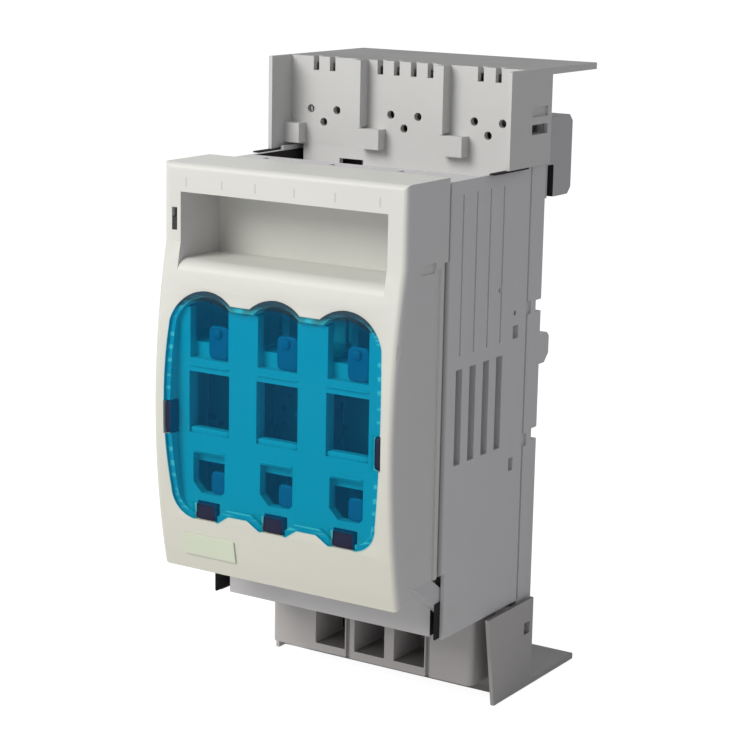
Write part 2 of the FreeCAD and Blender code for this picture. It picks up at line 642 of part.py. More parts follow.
def finger_notches(name):
    """Notches at the window's sides and feet, open to the dark inside of the cover."""
    y = (front - 2 * d.bulge, plate_back + d.overcut)
    side = d.window_width / 2
    notches = [block(f"{name}_notch_{s}", beside(sign, side - d.finger_depth, side + d.finger_width), y,
                     (d.finger_bottom, d.finger_top)) for s, sign in SIDES]
    return notches + [block(f"{name}_foot_notch_{k + 2}", around(d.pole_pitch * k, d.foot_notch_width), y,
                            (d.window_bottom, d.foot_notch_top)) for k in POLES]


def window_pockets():
    """Seat that the window lies on, and the deeper room behind it."""
    ahead = front - d.bulge - d.window_room
    seat = common("window_seat", window_outline("seat_outline", Size.of(0), ahead, plate_back),
                  curved_band("seat_band", d.bulge, d.window_thickness - d.window_proud))
    return [seat, window_outline("window_room", d.window_seat, ahead, front - d.bulge + d.window_room)]


def view_openings(k):
    """The three openings of one pole in the plate behind the window."""
    n = k + 2
    x = d.pole_pitch * k
    y = (front - d.bulge, plate_back + d.overcut)
    half, cap, low_half = d.view_width / 2, d.view_cap_width / 2, d.view_low_width / 2
    return [profile(f"view_top_{n}", "Y", [
                (x - half, d.view_foot), (x + half, d.view_foot), (x + half, d.view_cap_foot),
                (x + cap, d.view_cap_foot), (x - cap, d.view_cap_foot, d.view_cap_arc),
                (x - half, d.view_cap_foot)], *y),
            block(f"view_mid_{n}", around(x, d.view_mid_width), y, (d.view_mid_foot, d.view_mid_top)),
            profile(f"view_low_{n}", "Y", [
                (x - low_half, d.view_low_foot + d.view_low_corner),
                (x - low_half + d.view_low_corner, d.view_low_foot),
                (x + low_half - d.view_low_trim, d.view_low_foot),
                (x + low_half, d.view_low_foot + d.view_low_trim),
                (x + low_half, d.view_low_top), (x - low_half, d.view_low_top)], *y)]


def inspection_window():
    """Clear window that snaps into the cover's front."""
    outline = window_outline("window_blank", d.gap / 2, front - 2 * d.bulge, plate_back)
    band = curved_band("window_band", d.window_proud, d.window_thickness - d.window_proud)
    slab = common("window_slab", outline, band)
    keep("inspection_window", cut("inspection_window", slab, *finger_notches("window")))


def blank_plate():
    """Small blank plate on the cover's lower left."""
    field = block("plate_field", onward(d.plate_left, d.plate_width, 1), (front - 2 * d.bulge, plate_back),
                  onward(d.plate_top, d.plate_height, -1))
    band = curved_band("plate_band", d.plate_thickness, Size.of(0))
    keep("blank_plate", common("blank_plate", field, band))


def lock_slide():
    """Slide in the slot beside the handle recess; its plate runs behind the cover's wall."""
    low = d.lock_top - d.lock_length + d.gap
    high = d.lock_top - d.gap - d.lock_travel
    shank = block("slide_shank", around(lock_x, d.lock_width - 2 * d.gap),
                  (front + d.gap, plate_back + d.gap * 2), (low, high))
    plate = block("slide_plate", around(lock_plate_x, d.lock_plate_width),
                  onward(plate_back + d.gap, d.lock_plate_sheet, 1),
                  (low - d.lock_plate_more, high + d.lock_plate_more))
    keep("lock_slide", join("lock_slide", shank, plate))


def fuse_links():
    """Three fuse links: a ceramic body and two metal ends, each with a blade and a gripping lug."""
    for k in POLES:
        n = k + 2
        block_half = fuse_half - d.end_plate
        body = block(f"fuse_block_{n}", around(d.pole_pitch * k, d.fuse_body_width),
                     (-d.fuse_body_front, -d.fuse_body_back), around(d.fuse_height, block_half * 2))
        keep(f"fuse_body_{n}", rounded(f"fuse_body_{n}", body, d.fuse_body_edge,
                                       lambda b, w: b.ZLength > w.ZLength - SAME))
        for name, up in ENDS:
            keep(f"fuse_end_{name}_{n}", fuse_end(name, k, up, d.fuse_height + block_half * up))


def fuse_end(name, k, up, start):
    """End plate of a link with its blade to the rear and its lug to the front."""
    tag = f"{name}_{k + 2}"
    x = d.pole_pitch * k
    sheet_z = onward(start, d.end_plate, up)
    lug_y = -d.lug_front
    plate = block("end_plate_" + tag, around(x, d.fuse_body_width - 2 * d.end_inset),
                  (d.end_inset - d.fuse_body_front, -d.fuse_body_back - d.end_inset), sheet_z)
    blade = block("blade_" + tag, around(x, d.blade_thickness), (-d.blade_front, -d.blade_back),
                  onward(start, blade_length + d.end_plate, up))
    blade = rounded("blade_round_" + tag, blade, d.blade_edge,
                    lambda b, w: b.ZLength > w.ZLength - SAME and b.YMin > w.YMax - SAME)
    neck = block("lug_neck_" + tag, around(x, d.lug_neck), (lug_y, d.end_inset * 2 - d.fuse_body_front),
                 sheet_z)
    head = block("lug_head_" + tag, around(x, d.lug_head), onward(lug_y, d.lug_head_depth, 1), sheet_z)
    return join("fuse_end_" + tag, plate, blade, neck, head)


def fuse_holders():
    """Three frames on the cover's inner face that grip the fuse links by their lugs."""
    for k in POLES:
        n = k + 2
        x = d.pole_pitch * k
        rail_z = around(d.fuse_height, d.fuse_body_length + d.holder_more)
        solids = [block(f"rail_{side}_{n}", around(x + d.holder_rail_x * sign, d.holder_rail),
                        onward(plate_back, d.holder_depth, 1), rail_z) for side, sign in SIDES]
        tools = []
        for name, up in ENDS:
            z = d.fuse_height + (fuse_half - d.end_plate / 2) * up
            slot_z = around(z, d.end_plate + d.holder_play)
            solids.append(block(f"holder_block_{name}_{n}", around(x, d.holder_width),
                                onward(plate_back, d.holder_reach, 1), around(z, d.holder_block)))
            tools.append(block(f"holder_slot_{name}_{n}", around(x, d.lug_head + d.holder_play),
                               onward(-d.lug_front, d.lug_head_depth + d.holder_play, 1), slot_z))
            tools.append(block(f"holder_throat_{name}_{n}", around(x, d.lug_neck + d.holder_play),
                               onward(-d.lug_front, d.holder_reach, 1), slot_z))
        keep(f"fuse_holder_{n}", cut(f"fuse_holder_{n}", join(f"holder_whole_{n}", *solids), *tools))


def jaws():
    """Six jaws of copper sheet, each with a steel spring band around its two leaves."""
    tip = -d.jaw_front
    bend = tip + d.jaw_flare_run
    foot = well_face - d.jaw_foot
    for name, up in ENDS:
        z = jaw_levels(up)
        for k in POLES:
            tag = f"{name}_{k + 2}"
            x = d.pole_pitch * k
            jaw = profile(f"jaw_blank_{tag}", "Z", [
                (x - jaw_outer, well_face), (x + jaw_outer, well_face), (x + jaw_outer, bend),
                (x + jaw_outer + d.jaw_flare, tip), (x + jaw_inner + d.jaw_flare, tip), (x + jaw_inner, bend),
                (x + jaw_inner, foot), (x - jaw_inner, foot), (x - jaw_inner, bend),
                (x - jaw_inner - d.jaw_flare, tip), (x - jaw_outer - d.jaw_flare, tip),
                (x - jaw_outer, bend)], *z)
            hole = rod(f"jaw_hole_{tag}", "Y", (x, jaw_middle(up)), d.jaw_screw_radius + d.screw_play,
                       foot - d.overcut, well_face + d.overcut)
            keep(f"jaw_{tag}", cut(f"jaw_{tag}", jaw, hole))
            keep(f"jaw_spring_{tag}", spring_band(tag, x, z))


def spring_band(tag, x, z):
    y = (-d.spring_front, -d.spring_back)
    half = jaw_outer + d.spring_play
    low, high = z[0] - d.spring_play, z[1] + d.spring_play
    outer = block(f"spring_outer_{tag}", (x - half - d.spring_sheet, x + half + d.spring_sheet), y,
                  (low - d.spring_sheet, high + d.spring_sheet))
    inner = block(f"spring_inner_{tag}", (x - half, x + half), (y[0] - d.overcut, y[1] + d.overcut),
                  (low, high))
    return cut(f"jaw_spring_{tag}", outer, inner)


def bus_contacts():
    """Three strips that lead from the lower jaws back to their own busbar each."""
    flange_z = jaw_levels(-1)
    strip_y = onward(-d.bus_strip_depth, d.strip_sheet, 1)
    leg_z = onward(d.bus_leg, d.strip_sheet, -1)
    for k, bar in zip(POLES, BARS):
        n = k + 2
        x = around(d.pole_pitch * k, d.strip_width)
        pad_z = around(d.bar_pitch * bar, d.contact_height)
        top = pad_z[1] if bar >= 0 else leg_z[1]
        low = leg_z[0] if bar >= 0 else pad_z[0]
        solids = [block(f"bus_flange_{n}", x, onward(floor_back, d.strip_sheet, 1), flange_z),
                  block(f"bus_leg_{n}", x, (floor_back, strip_y[1]), leg_z),
                  block(f"bus_strip_{n}", x, strip_y, (low, top)),
                  block(f"bus_pad_{n}", around(d.pole_pitch * k, d.contact_width),
                        (strip_y[0], Size.of(0)), pad_z)]
        hole = rod(f"bus_hole_{n}", "Y", (d.pole_pitch * k, jaw_middle(-1)),
                   d.jaw_screw_radius + d.screw_play, floor_back - d.overcut,
                   floor_back + d.strip_sheet + d.overcut)
        keep(f"bus_contact_{n}", cut(f"bus_contact_{n}", join(f"bus_whole_{n}", *solids), hole))


def terminal_bars():
    """Three bars that lead from the upper jaws up to the cable terminals."""
    flange_low = jaw_levels(1)[0]
    leg_z = onward(d.terminal_leg, d.strip_sheet, 1)
    plate_y = onward(-d.terminal_depth, d.strip_sheet, 1)
    for k in POLES:
        n = k + 2
        x = around(d.pole_pitch * k, d.strip_width)
        solids = [block(f"terminal_flange_{n}", x, onward(floor_back, d.strip_sheet, 1),
                        (flange_low, leg_z[1])),
                  block(f"terminal_leg_{n}", x, (floor_back, plate_y[1]), leg_z),
                  block(f"terminal_plate_{n}", around(d.section_pitch * k, d.terminal_width), plate_y,
                        (d.terminal_leg, terminal_top))]
        holes = [rod(f"terminal_flange_hole_{n}", "Y", (d.pole_pitch * k, jaw_middle(1)),
                     d.jaw_screw_radius + d.screw_play, floor_back - d.overcut,
                     floor_back + d.strip_sheet + d.overcut),
                 rod(f"terminal_hole_{n}", "Y", (d.section_pitch * k, d.terminal_height),
                     d.terminal_screw_radius + d.screw_play, plate_y[0] - d.overcut, plate_y[1] + d.overcut)]
        keep(f"terminal_bar_{n}", cut(f"terminal_bar_{n}", join(f"terminal_whole_{n}", *solids), *holes))


def terminal_clamps():
    """Clamp plates under the heads of the terminal screws."""
    face = -d.terminal_depth - d.clamp_sheet
    plates = []
    for k in POLES:
        x = d.section_pitch * k
        plate = block(f"clamp_blank_{k + 2}", around(x, d.clamp_width), (face, -d.terminal_depth),
                      around(d.terminal_height, d.clamp_height))
        hole = rod(f"clamp_hole_{k + 2}", "Y", (x, d.terminal_height), d.terminal_screw_radius + d.screw_play,
                   face - d.overcut, d.overcut - d.terminal_depth)
        plates.append(cut(f"clamp_{k + 2}", plate, hole))
    keep("terminal_clamps", group("terminal_clamps", *plates))


def hexagon(name, centre, radius, low, high):
    """Hexagonal screw head that points along Y."""
    x, z = centre
    half, tall = radius / 2, radius * Size(math.sqrt(3) / 2, "(sqrt(3) / 2)")
    return profile(name, "Y", [(x + radius, z), (x + half, z + tall), (x - half, z + tall), (x - radius, z),
                               (x - half, z - tall), (x + half, z - tall)], low, high)


def terminal_screws():
    """Hexagon-headed screws of the cable terminals."""
    face = -d.terminal_depth - d.clamp_sheet
    screws = []
    for k in POLES:
        centre = (d.section_pitch * k, Size.of(0) + d.terminal_height)
        head = hexagon(f"terminal_head_{k + 2}", centre, d.terminal_head, face - d.terminal_head_height, face)
        shank = rod(f"terminal_shank_{k + 2}", "Y", centre, d.terminal_screw_radius, face,
                    -d.terminal_screw_end)
        screws.append(join(f"terminal_screw_{k + 2}", head, shank))
    keep("terminal_screws", group("terminal_screws", *screws))


def jaw_screws():
    """Six screws that hold jaw, base and conductor together."""
    face = well_face - d.jaw_foot
    screws = []
    for name, up in ENDS:
        for k in POLES:
            centre = (d.pole_pitch * k, jaw_middle(up))
            head = hexagon(f"jaw_head_{name}_{k + 2}", centre, d.jaw_screw_head,
                           face - d.jaw_head_height, face)
            shank = rod(f"jaw_shank_{name}_{k + 2}", "Y", centre, d.jaw_screw_radius, face,
                        floor_back + d.strip_sheet)
            screws.append(join(f"jaw_screw_{name}_{k + 2}", head, shank))
    keep("jaw_screws", group("jaw_screws", *screws))


def arc_chutes():
    """Per pole a stack of steel plates with a notch for the arc, between two fibre cheeks."""
    for k in POLES:
        n = k + 2
        x = d.pole_pitch * k
        half = d.well_width / 2
        inner = half - d.cheek_sheet
        y = (-d.chute_front, -d.chute_back)
        plates = []
        for i in range(CHUTE_PLATES):
            z = d.chute_first + d.chute_pitch * i
            plates.append(profile(f"chute_plate_{n}_{i + 1}", "Z", [
                (x - inner, y[0]), (x - d.chute_notch / 2, y[0]), (x, y[0] + d.chute_notch_run),
                (x + d.chute_notch / 2, y[0]), (x + inner, y[0]), (x + inner, y[1]), (x - inner, y[1])],
                z, z + d.chute_sheet))
        keep(f"arc_plates_{n}", group(f"arc_plates_{n}", *plates))
        tall = (d.chute_first - d.cheek_more, d.chute_first + d.chute_pitch * (CHUTE_PLATES - 1)
                + d.chute_sheet + d.cheek_more)
        cheeks = [block(f"cheek_{side}_{n}", (x + inner, x + half) if sign > 0 else (x - half, x - inner),
                        (y[0] - d.cheek_more, y[1] + d.cheek_more), tall) for side, sign in SIDES]
        keep(f"chute_cheeks_{n}", group(f"chute_cheeks_{n}", *cheeks))


def housing_screws():
    """Four screws from behind that hold the adapter to the base."""
    screws = []
    for side, sign in SIDES:
        for name, z in (("high", d.housing_screw_high), ("low", d.housing_screw_low)):
            centre = (d.housing_screw_x * sign, z)
            head = hexagon(f"housing_head_{side}_{name}", centre, d.housing_head, back,
                           back + d.housing_head_height)
            shank = rod(f"housing_shank_{side}_{name}", "Y", centre, d.housing_screw_radius,
                        -d.adapter_depth - d.housing_screw_length, back)
            screws.append(join(f"housing_screw_{side}_{name}", head, shank))
    keep("housing_screws", group("housing_screws", *screws))


def locking_slide():
    """Sheet slide on two rivets whose lip reaches up behind the lowest busbar."""
    y = onward(back + d.gap, d.slide_sheet, 1)
    lip_y = onward(slot_depth + d.gap, d.slide_sheet, 1)
    web_z = onward(d.slide_top, d.slide_sheet, -1)
    lip_top = d.bar_height / -2 - d.bar_pitch + d.slide_hold
    x = both(d.slide_width / 2)
    solids = [block("slide_sheet_plate", x, y, (d.slide_foot, d.slide_top)),
              block("slide_web", x, (y[0], lip_y[1]), web_z),
              block("slide_lip", x, lip_y, (web_z[0], lip_top))]
    slots = []
    wide = d.rivet_radius + d.gap
    through = (y[0] - d.overcut, y[1] + d.overcut)
    for side, sign in SIDES:
        centre = d.rivet_x * sign
        slots += [block(f"slide_slot_{side}", around(centre, wide * 2), through,
                        onward(d.rivet_z, d.slide_travel, 1)),
                  rod(f"slide_slot_low_{side}", "Y", (centre, d.rivet_z), wide, *through),
                  rod(f"slide_slot_high_{side}", "Y", (centre, d.rivet_z + d.slide_travel), wide, *through)]
    keep("locking_slide", cut("locking_slide", join("slide_whole", *solids), *slots))
    head_y = onward(y[1] + d.gap, d.rivet_head_height, 1)
    rivets = []
    for side, sign in SIDES:
        centre = (d.rivet_x * sign, d.rivet_z)
        shank = rod(f"rivet_shank_{side}", "Y", centre, d.rivet_radius, back - d.rivet_length, head_y[0])
        head = rod(f"rivet_head_{side}", "Y", centre, d.rivet_head, *head_y)
        rivets.append(join(f"rivet_{side}", shank, head))
    keep("slide_rivets", group("slide_rivets", *rivets))


def upper_shroud():
    """Cover of the cable terminals: its apron stands in the base's pit, its shelf covers the busbars."""
    foot = d.base_top + d.foot_gap
    face_y = onward(-d.face_depth, d.face_wall, 1)
    y_all = (face_y[0] - d.overcut, face_y[1] + d.overcut)
    x = both(half_shroud - d.wall_thickness)
    solids = [block(f"upper_wall_{side}", beside(sign, half_shroud - d.wall_thickness, half_shroud),
                    (-d.wing_front, -d.wing_back), (foot, shroud_top)) for side, sign in SIDES]
    solids += [block("upper_face", x, face_y, (face_foot, shroud_top)),
               block("upper_apron", (-d.apron_left, half_body - d.pit_wall - d.gap), face_y,
                     (d.pit_floor + d.gap, face_foot)),
               block("upper_shelf", both(half_shroud), (face_y[0], d.shelf_back),
                     (shroud_top - d.shelf_wall, shroud_top))]
    tools = [block("apron_notch", onward(-d.apron_notch_left, d.apron_notch_width, 1), y_all,
                   (d.pit_floor, d.pit_floor + d.gap + d.apron_notch_height))]
    for k in POLES:
        centre = d.section_pitch * k
        fin = centre - d.section_pitch / 2
        start = x[0] if k < 0 else fin
        solids.append(block(f"boss_{k + 2}", (start, fin + d.boss_run), (face_y[0] - d.boss_depth, face_y[1]),
                            (d.boss_foot, d.boss_top)))
        if k >= 0:
            solids.append(block(f"fin_{k + 2}", around(fin, d.fin_width),
                                (face_y[0] - d.fin_depth, face_y[1]), (d.fin_foot, shroud_top)))
        tools.append(rod(f"probe_low_{k + 2}", "Y", (centre, d.probe_low), d.probe_radius, *y_all))
        for side, sign in SIDES:
            tools.append(rod(f"probe_{side}_{k + 2}", "Y", (centre + d.probe_spread * sign, d.probe_high),
                             d.probe_radius, *y_all))
    latch_y = (-d.latch_front, -d.latch_back)
    for side, sign in SIDES:
        tools += [block(f"latch_window_{side}", beside(sign, half_body, half_shroud + d.overcut), latch_y,
                        onward(d.latch_foot, d.latch_height, 1)),
                  block(f"latch_mark_{side}",
                        beside(sign, half_shroud - d.latch_depth, half_shroud + d.overcut), latch_y,
                        onward(d.mark_foot, d.latch_height, 1))]
    keep("upper_shroud", cut("upper_shroud", join("upper_shroud_whole", *solids), *tools, *knockouts(y_all)))


def knockouts(y):
    """Notches for thin wires in the upper edge of the shroud's face."""
    spots = [(k, d.knockout_inner * sign) for k in POLES for _, sign in SIDES]
    spots += [(0, d.knockout_outer * sign) for _, sign in SIDES]
    z = (shroud_top - d.knockout_height, shroud_top + d.overcut)
    return [block(f"knockout_{i + 1}", around(d.section_pitch * k + off, d.knockout_width), y, z)
            for i, (k, off) in enumerate(spots)]


def lower_shroud():
    """Lower cover with a row of three outlets, a shelf below and a guard wall on its right."""
    top = d.base_bottom - d.foot_gap
    face_y = onward(-d.face_depth, d.face_wall, 1)
    x = both(half_shroud - d.wall_thickness)
    row_x = both(d.row_width / 2)
    row_z = (d.row_bottom, d.row_top)
    row = rounded("row_rounded", block("outlet_row", row_x, (-d.row_front, face_y[1]), row_z), d.row_edge,
                  lambda b, w: b.ZLength > w.ZLength - SAME and b.YMax < w.YMin + SAME)
    solids = [block("lower_wall_left", beside(-1, half_shroud - d.wall_thickness, half_shroud),
                    (-d.left_wing_front, -d.wing_back), (shroud_bottom, top)),
              profile("lower_wall_right", "X", [
                  (-d.guard_top, top), (-d.guard_foot, shroud_bottom), (-d.wing_back, shroud_bottom),
                  (-d.wing_back, top)], *beside(1, half_shroud - d.wall_thickness, half_shroud)),
              block("lower_face", x, face_y, (shroud_bottom, top)),
              block("lower_shelf", both(half_shroud), (face_y[0], d.shelf_back),
                    (shroud_bottom, shroud_bottom + d.shelf_wall)), row]
    tools = [block(f"outlet_{k + 2}", around(d.outlet_pitch * k, d.outlet_width),
                   (-d.row_front - d.overcut, face_y[1] + d.overcut), (d.outlet_foot, d.outlet_top))
             for k in POLES]
    groove_y = onward(-d.row_front - d.overcut, d.row_groove + d.overcut, 1)
    tools += [block(f"row_groove_{name}", around(x_mid, d.row_groove), groove_y,
                    (d.row_bottom - d.overcut, d.row_top + d.overcut))
              for name, x_mid in (("left", -d.row_groove_left), ("right", d.row_groove_right))]
    for side, sign in SIDES:
        tools.append(block(f"wing_eye_{side}", beside(sign, half_body, half_shroud + d.overcut),
                           around(d.eye_y, d.eye_width), around(d.eye_z, d.eye_height)))
    keep("lower_shroud", cut("lower_shroud", join("lower_shroud_whole", *solids), *tools))


for make in (base_housing, hinge_pins, rear_adapter, bar_hooks, front_cover, inspection_window, blank_plate,
             lock_slide, fuse_links, fuse_holders, jaws, jaw_screws, bus_contacts, terminal_bars,
             terminal_clamps, terminal_screws, arc_chutes, housing_screws, locking_slide, upper_shroud,
             lower_shroud):
    make()
doc.recompute()

faults = [o.Name for o in doc.Objects if "Invalid" in o.State or "Error" in o.State]
faults += [p.Label for p in PARTS if p.Shape.isNull() or not p.Shape.isValid() or not p.Shape.Solids]
if faults:
    raise SystemExit("faulty: " + ", ".join(faults))
for part in PARTS:
    part.Shape.exportStep(f"parts/{part.Label}.step")
print(len(PARTS), "sub-parts written")
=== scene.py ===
"""Look of a three-pole fuse switch disconnector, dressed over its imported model, in metres."""
import json
import math
import bmesh
import bpy
import numpy as np
from mathutils import Matrix, Vector


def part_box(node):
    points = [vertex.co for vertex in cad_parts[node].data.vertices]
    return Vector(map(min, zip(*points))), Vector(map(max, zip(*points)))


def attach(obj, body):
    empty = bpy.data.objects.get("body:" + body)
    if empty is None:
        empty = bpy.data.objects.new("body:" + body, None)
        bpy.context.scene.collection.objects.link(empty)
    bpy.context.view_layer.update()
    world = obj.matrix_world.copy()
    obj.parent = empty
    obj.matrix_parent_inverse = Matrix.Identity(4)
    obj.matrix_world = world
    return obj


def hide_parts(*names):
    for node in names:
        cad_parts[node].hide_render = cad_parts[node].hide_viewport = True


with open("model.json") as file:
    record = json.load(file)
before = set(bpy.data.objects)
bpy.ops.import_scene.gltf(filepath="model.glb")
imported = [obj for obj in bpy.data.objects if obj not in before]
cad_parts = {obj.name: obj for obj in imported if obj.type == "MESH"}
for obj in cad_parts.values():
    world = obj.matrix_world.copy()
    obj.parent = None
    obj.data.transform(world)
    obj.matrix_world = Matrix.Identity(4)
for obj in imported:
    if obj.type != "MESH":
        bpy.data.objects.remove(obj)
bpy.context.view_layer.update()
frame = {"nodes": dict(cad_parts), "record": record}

# Camera: it stands to the right of the switch and a little above it, with a long lens. The view
# leans by about one degree, as the photograph does. The focal length is in pixels of its picture.
eye = Vector((0.5153, -0.8654, 0.1834))
turn, rise, lean = math.radians(32.19), math.radians(12.52), math.radians(1.14)
focal_pixels, picture_pixels, sensor_mm = 2166.78, 754, 36
ahead = Vector((-math.sin(turn) * math.cos(rise), math.cos(turn) * math.cos(rise), -math.sin(rise)))
level = Vector((math.cos(turn), math.sin(turn), 0))
over = level.cross(ahead)
across = math.cos(lean) * level + math.sin(lean) * over
upward = math.cos(lean) * over - math.sin(lean) * level
camera_data = bpy.data.cameras.new("camera")
camera_data.lens = focal_pixels / picture_pixels * sensor_mm
camera_data.sensor_width = sensor_mm
camera_data.clip_start = 0.05
camera = bpy.data.objects.new("camera", camera_data)
columns = (across, upward, -ahead, eye)
camera.matrix_world = Matrix([[c[row] for c in columns] for row in range(3)] + [[0, 0, 0, 1]])
bpy.context.collection.objects.link(camera)
bpy.context.scene.camera = camera
bpy.context.scene.view_settings.view_transform = "Standard"


# Studio: one broad lamp in front on the left, so that the right-hand side lies in half shade as in
# the photograph, and an even pale surrounding. The floor is white and keeps a soft shadow.
class Socket:
    """A shader value that can be used in sums, as plain numbers are."""

    def __init__(self, kit, link):
        self.kit, self.link = kit, link

    def _math(self, operation, *values):
        return self.kit.node("ShaderNodeMath", {"operation": operation}, *values)

    def __add__(self, other):
        return self._math("ADD", self, other)

    def __radd__(self, other):
        return self._math("ADD", other, self)

    def __sub__(self, other):
        return self._math("SUBTRACT", self, other)

    def __rsub__(self, other):
        return self._math("SUBTRACT", other, self)

    def __mul__(self, other):
        return self._math("MULTIPLY", self, other)

    def __rmul__(self, other):
        return self._math("MULTIPLY", other, self)

    def __gt__(self, other):
        return self._math("GREATER_THAN", self, other)

    def __lt__(self, other):
        return self._math("LESS_THAN", self, other)


class Finish:
    """One material, or the light of the room, and the nodes that make it up."""

    def __init__(self, name, store="materials"):
        self.block = getattr(bpy.data, store).new(name)
        self.block.use_nodes = True
        self.tree = self.block.node_tree
        self.tree.nodes.clear()

    def feed(self, socket, value):
        """Links a shader value to a socket, or sets a plain one."""
        if isinstance(value, Socket):
            self.tree.links.new(value.link, socket)
        else:
            socket.default_value = value

    def node(self, kind, settings, *values, out=0, **named):
        """Adds a node, sets its properties, then gives its sockets values or links."""
        made = self.tree.nodes.new(kind)
        for key, value in settings.items():
            if key == "stops":
                for element, (place, colour) in zip(made.color_ramp.elements, value):
                    element.position, element.color = place, colour
            else:
                setattr(made, key, value)
        for number, value in enumerate(values):
            self.feed(made.inputs[number], value)
        for key, value in named.items():
            self.feed(made.inputs[key.replace("_", " ")], value)
        return Socket(self, made.outputs[out]) if made.outputs else None

    def place(self):
        return self.node("ShaderNodeTexCoord", {}, out="Object")

    def axis(self, number, vector=None):
        """One number of a vector, of the place on the piece unless another is given: 0 grows to the
        right as seen from the front, 1 towards the back and 2 upwards."""
        return self.node("ShaderNodeSeparateXYZ", {}, vector or self.place(), out=number)

    def facing(self, number):
        """One number of the direction in which the surface looks."""
        return self.axis(number, self.node("ShaderNodeNewGeometry", {}, out="True Normal"))

    def noise(self, scale, detail=3, roughness=0.5):
        return self.node("ShaderNodeTexNoise", {}, Vector=self.place(), Scale=scale, Detail=detail,
                         Roughness=roughness)

    def streaks(self, scales, detail=3, roughness=0.5):
        """Noise with its own scale along each axis."""
        stretched = self.node("ShaderNodeMapping", {}, self.place(), Scale=scales)
        return self.node("ShaderNodeTexNoise", {}, Vector=stretched, Scale=1.0, Detail=detail,
                         Roughness=roughness)

    def rise(self, value, start, end):
        """Mask that goes from 0 to 1 as the value goes from start to end."""
        return self.node("ShaderNodeMapRange", {}, Value=value, From_Min=start, From_Max=end)

    def tint(self, mask, low, high):
        """Colour that goes from low to high as the mask goes from 0 to 1."""
        return self.node("ShaderNodeValToRGB", {"stops": [(0, (*low, 1)), (1, (*high, 1))]}, mask)

    def blend(self, mask, first, second):
        """Mix of two colours or colour links by a mask. A Mix node has its colours in sockets 6 and
        7, and the mixed colour in output 2."""
        made = self.tree.nodes.new("ShaderNodeMix")
        made.data_type = "RGBA"
        self.feed(made.inputs[0], mask)
        for number, colour in ((6, first), (7, second)):
            self.feed(made.inputs[number], colour if isinstance(colour, Socket) else (*colour, 1))
        return Socket(self, made.outputs[2])

    def bump(self, height, strength, distance):
        return self.node("ShaderNodeBump", {}, Strength=strength, Distance=distance, Height=height)

    def surface(self, **values):
        return self.node("ShaderNodeBsdfPrincipled", {}, **values)

    def close(self, shader):
        self.node("ShaderNodeOutputMaterial", {}, Surface=shader)
        return self.block


lamp_place, lamp_aim = Vector((-0.75, -1.58, 1.15)), Vector((0, -0.1, -0.05))
lamp_data = bpy.data.lights.new("key_lamp", "AREA")
lamp_data.shape = "DISK"
lamp_data.size = 1.3
lamp_data.energy = 36
lamp_data.color = (1, 0.985, 0.95)
lamp = bpy.data.objects.new("key_lamp", lamp_data)
lamp.location = lamp_place
lamp.rotation_euler = (lamp_place - lamp_aim).to_track_quat("Z", "Y").to_euler()
bpy.context.collection.objects.link(lamp)

room = Finish("pale_room", "worlds")
bpy.context.scene.world = room.block
seen = 0
for ray in ("Is Camera Ray", "Is Glossy Ray", "Is Transmission Ray"):
    light_path = room.node("ShaderNodeLightPath", {}, out=ray)
    seen = room.node("ShaderNodeMath", {"operation": "MAXIMUM"}, light_path, seen)
ambient = room.node("ShaderNodeBackground", {}, Color=(0.96, 0.97, 1, 1), Strength=0.34)
backdrop = room.node("ShaderNodeBackground", {}, Color=(1, 1, 1, 1), Strength=1.0)
room.node("ShaderNodeOutputWorld", {}, Surface=room.node("ShaderNodeMixShader", {}, seen, ambient, backdrop))

floor_reach, floor_gap = 6, 0.0005
floor_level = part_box("lower_shroud")[0][2] - floor_gap
corner_signs = ((-1, -1), (1, -1), (1, 1), (-1, 1))
floor_corners = [(x * floor_reach, y * floor_reach, floor_level) for x, y in corner_signs]
floor_mesh = bpy.data.meshes.new("floor")
floor_mesh.from_pydata(floor_corners, [], [(0, 1, 2, 3)])
floor = bpy.data.objects.new("floor", floor_mesh)
bpy.context.collection.objects.link(floor)
white = Finish("white_floor")
matt = white.node("ShaderNodeBsdfDiffuse", {}, Color=(0.8, 0.8, 0.8, 1))
dim = white.node("ShaderNodeBsdfDiffuse", {}, Color=(0.25, 0.25, 0.25, 1))
glow = white.node("ShaderNodeEmission", {}, Color=(0.94, 0.94, 0.94, 1), Strength=1.0)
shown = white.node("ShaderNodeAddShader", {}, dim, glow)
camera_ray = white.node("ShaderNodeLightPath", {}, out="Is Camera Ray")
floor_mesh.materials.append(white.close(white.node("ShaderNodeMixShader", {}, camera_ray, matt, shown)))


# Front cover: one moulding of pale grey plastic with softly rounded edges, a fine matt grain and a
# slightly warmer tone towards its foot. Its face has six short strokes over the handle recess, and
# its flanks and hinge arms are painted greyer, as shade. It turns on the two pins below.
mm = 0.001


